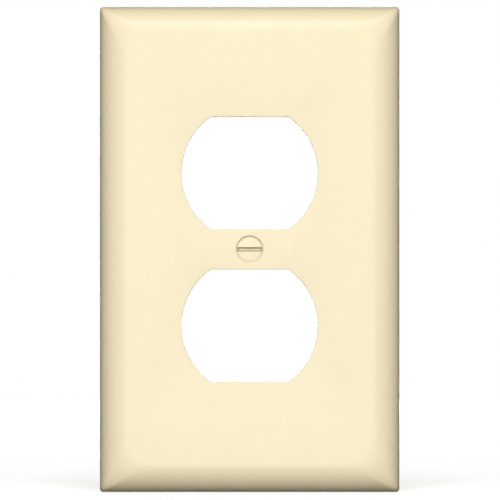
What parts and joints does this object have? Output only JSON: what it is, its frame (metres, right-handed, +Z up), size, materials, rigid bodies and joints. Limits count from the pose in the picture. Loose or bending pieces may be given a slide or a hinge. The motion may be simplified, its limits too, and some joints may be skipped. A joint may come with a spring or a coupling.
{
  "type": "duplex receptacle wall plate",
  "caption": "Pillow-faced wall plate with twin receptacle openings, a captive slotted oval-head screw and its retaining washer.",
  "frame": {"origin": "where the mounting screw's axis meets the wall's surface, which is the plane of the plate's back rim", "axes": "+X to the right as seen from the room, +Y into the wall along the screw's axis, +Z up along the plate's length"},
  "size_m": [0.0764, 0.013, 0.1238],
  "materials": {
    "ivory_plastic": "satin moulded ivory",
    "painted_screw": "ivory enamel head on a zinc-plated steel shank",
    "fibre": "red-brown vulcanised fibre"
  },
  "bodies": {
    "cover": {"cover_plate": "ivory_plastic"},
    "washer": {"retaining_washer": "fibre"},
    "screw": {"mounting_screw": "painted_screw"}
  },
  "joints": [
    {"name": "screw_travel", "type": "slide", "parent": "cover", "child": "washer", "axis": [0, -1, 0], "range_m": [0, 0.002]},
    {"name": "screw_turn", "type": "hinge", "parent": "washer", "child": "screw", "pos_m": [0, 0, 0], "axis": [0, 1, 0], "continuous": true}
  ]
}
